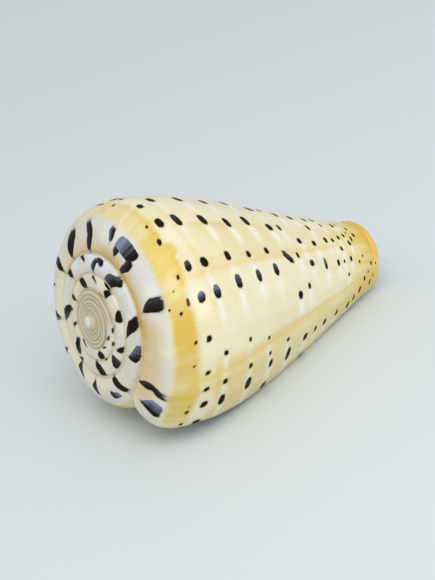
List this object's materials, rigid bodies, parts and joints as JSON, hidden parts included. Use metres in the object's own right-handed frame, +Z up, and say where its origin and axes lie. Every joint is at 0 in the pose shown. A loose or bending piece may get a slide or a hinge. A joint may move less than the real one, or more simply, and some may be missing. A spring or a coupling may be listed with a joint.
{
  "type": "cone shell",
  "caption": "Glossy cream cone shell with dark spots, a broad rounded shoulder, a low coiled spire and a long narrow slit opening, lying on its lip and belly.",
  "frame": {"origin": "centre of the bounding box in plan, on the surface the shell lies on", "axes": "+X along the shell towards its spire, +Z up; the slit opening faces down"},
  "size_m": [0.0636, 0.043, 0.0395],
  "materials": {
    "shell": "glossy natural porcelain-like shell, cream and yellow with near-black spots"
  },
  "bodies": {
    "root": {"cone_shell": "shell"}
  },
  "joints": []
}
